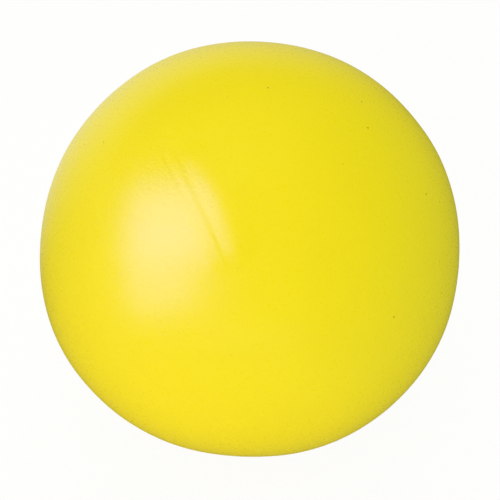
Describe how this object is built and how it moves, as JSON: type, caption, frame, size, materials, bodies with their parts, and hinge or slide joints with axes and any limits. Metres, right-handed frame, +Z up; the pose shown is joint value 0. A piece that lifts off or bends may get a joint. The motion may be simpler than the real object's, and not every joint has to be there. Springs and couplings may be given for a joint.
{
  "type": "dodgeball",
  "caption": "Soft coated foam dodgeball: a moulded foam sphere under a bond coat, a tear-resistant elastomer skin and a satin yellow top coat, for throwing and catching games.",
  "frame": {"origin": "centre of the ball", "axes": "+Z up; the ball is the same all round, so +X and +Y are free"},
  "size_m": [0.178, 0.178, 0.178],
  "materials": {
    "flexible_foam": "matte",
    "bond_coat": "matte",
    "elastomer": "satin",
    "yellow_coat": "satin"
  },
  "bodies": {
    "root": {"foam_core": "flexible_foam", "bond_coat": "bond_coat", "elastomer_skin": "elastomer", "colour_coat": "yellow_coat"}
  },
  "joints": []
}
